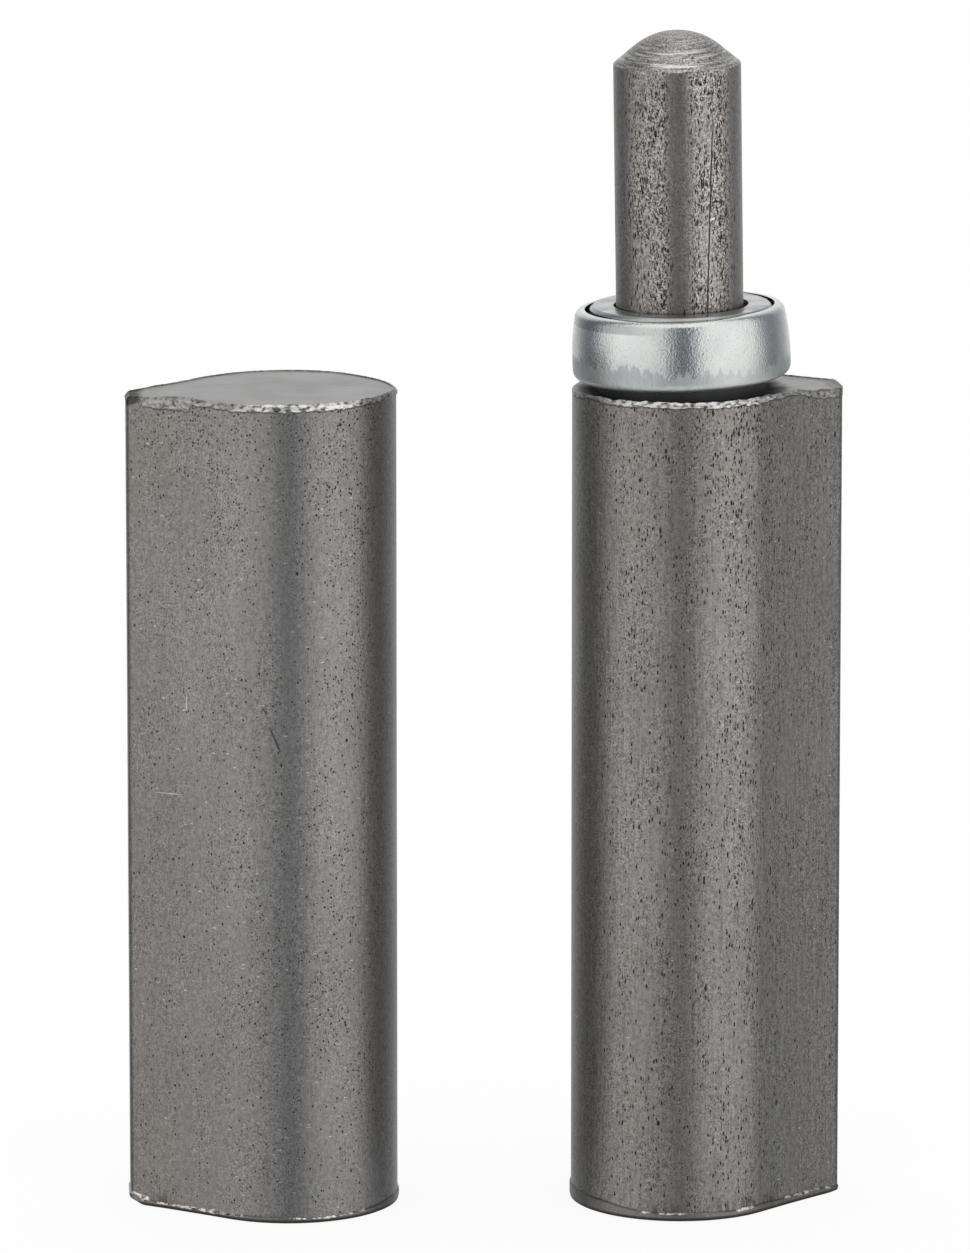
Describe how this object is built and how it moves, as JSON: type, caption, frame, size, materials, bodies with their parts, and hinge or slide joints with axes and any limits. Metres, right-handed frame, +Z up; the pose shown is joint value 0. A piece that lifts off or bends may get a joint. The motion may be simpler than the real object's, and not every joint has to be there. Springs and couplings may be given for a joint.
{
  "type": "lift-off hinge",
  "caption": "Weld-on lift-off hinge with drop-shaped leaves, a fixed round-tipped pin and a thrust ball bearing between the halves, shown lifted apart.",
  "frame": {"origin": "axis of the lower leaf's barrel at its base", "axes": "+Z up along the pin towards its domed tip, +X away from the upper leaf that stands beside it, +Y to the back"},
  "size_m": [0.0662, 0.0211, 0.1095],
  "materials": {
    "leaf_steel": "drawn, uncoated, finely pitted",
    "pin_steel": "drawn, uncoated, pitted, turned tip",
    "zinc_shell": "bright zinc plated",
    "race_steel": "turned and zinc plated",
    "ball_steel": "polished"
  },
  "bodies": {
    "lower_half": {"lower_leaf": "leaf_steel", "hinge_pin": "pin_steel", "bearing_shell": "zinc_shell", "lower_race": "race_steel"},
    "upper_half": {"upper_leaf": "leaf_steel"},
    "top_race": {"upper_race": "race_steel"},
    "balls": {"ball_01": "ball_steel", "ball_02": "ball_steel", "ball_03": "ball_steel", "ball_04": "ball_steel", "ball_05": "ball_steel", "ball_06": "ball_steel", "ball_07": "ball_steel", "ball_08": "ball_steel", "ball_09": "ball_steel", "ball_10": "ball_steel", "ball_11": "ball_steel", "ball_12": "ball_steel", "ball_13": "ball_steel", "ball_14": "ball_steel", "ball_15": "ball_steel"}
  },
  "joints": [
    {"name": "leaf_swing", "type": "hinge", "parent": "lower_half", "child": "upper_half", "pos_m": [-0.0361, -0.00075, 0], "axis": [0, 0, 1], "continuous": true},
    {"name": "race_spin", "type": "hinge", "parent": "lower_half", "child": "top_race", "pos_m": [0, 0, 0.0761], "axis": [0, 0, 1], "continuous": true},
    {"name": "ball_orbit", "type": "hinge", "parent": "lower_half", "child": "balls", "pos_m": [0, 0, 0.0761], "axis": [0, 0, 1], "continuous": true}
  ],
  "couplings": [
    {"joint": "ball_orbit", "follows": "race_spin", "ratio": 0.5}
  ]
}
